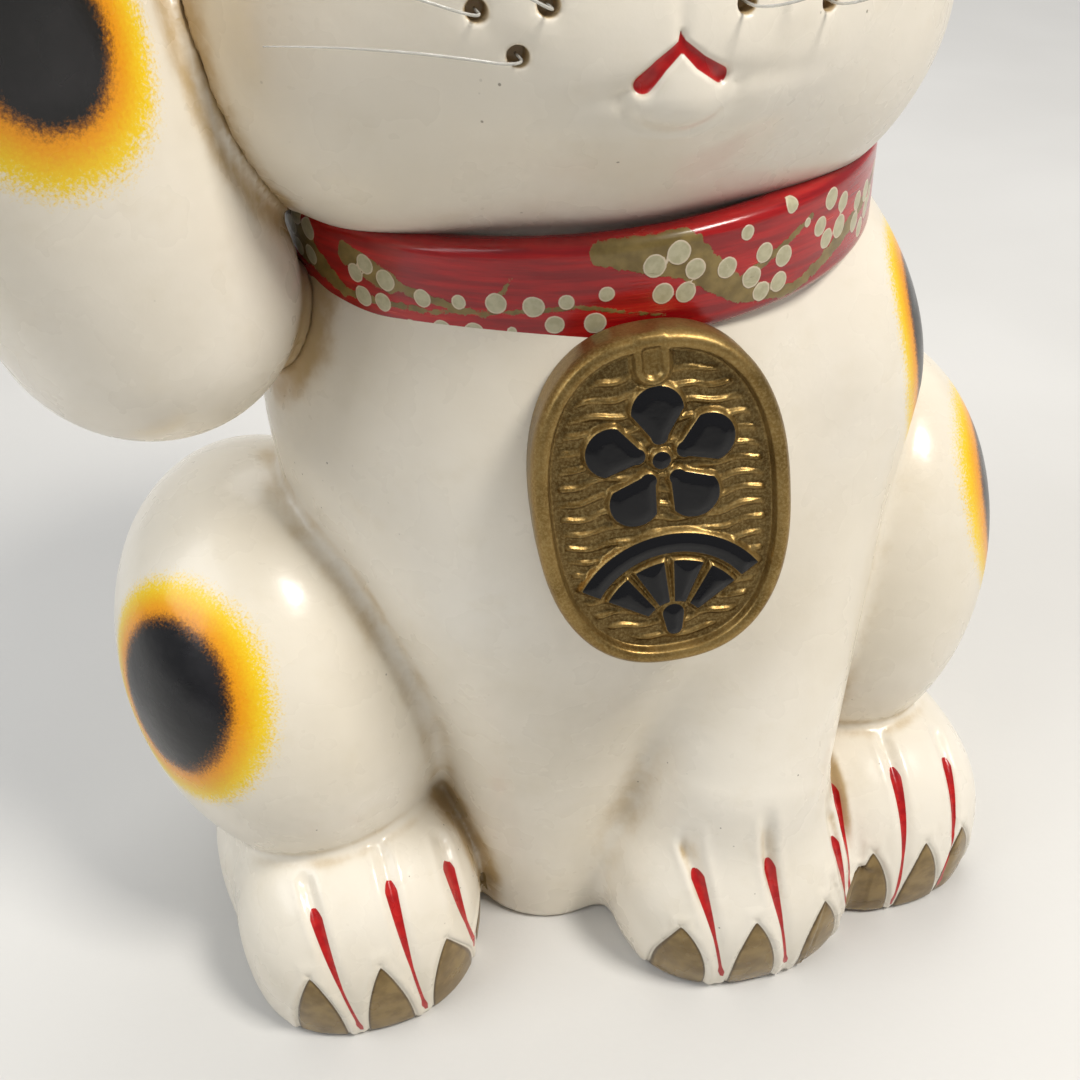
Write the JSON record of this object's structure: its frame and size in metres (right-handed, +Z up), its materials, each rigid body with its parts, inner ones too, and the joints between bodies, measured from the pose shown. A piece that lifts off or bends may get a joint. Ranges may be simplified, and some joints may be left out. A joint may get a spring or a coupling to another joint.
{
  "type": "beckoning cat figurine",
  "caption": "Seated hollow earthenware cat with one forepaw raised to beckon, a painted collar, an oval relief plaque, bristle whiskers, a coin slot and a pull-out base plug.",
  "frame": {"origin": "on the flat base, below the middle of the neck, between the hips and the front paw", "axes": "+Z up; the cat faces -Y; its raised right forepaw is on the -X side"},
  "size_m": [0.3381, 0.2568, 0.449],
  "materials": {
    "ivory_paint": "pearly off-white paint on earthenware, satin gloss, aged",
    "red_paint": "brushed red enamel, glossy",
    "gold_paint": "dull antique gold paint",
    "black_gloss": "thick glossy black enamel",
    "clear_nylon": "clear nylon bristle",
    "rubber_plug": "matt soft rubber"
  },
  "bodies": {
    "figure": {"torso_casting": "ivory_paint", "head_casting": "ivory_paint", "raised_foreleg": "ivory_paint", "tail": "ivory_paint", "collar_band": "red_paint", "plaque": "gold_paint", "whisker_right_1": "clear_nylon", "whisker_right_2": "clear_nylon", "whisker_right_3": "clear_nylon", "whisker_left_1": "clear_nylon", "whisker_left_2": "clear_nylon", "whisker_left_3": "clear_nylon"},
    "plug": {"base_plug": "rubber_plug"}
  },
  "joints": [
    {"name": "plug_pull", "type": "slide", "parent": "figure", "child": "plug", "axis": [0, 0, -1], "range_m": [0, 0.03]}
  ]
}
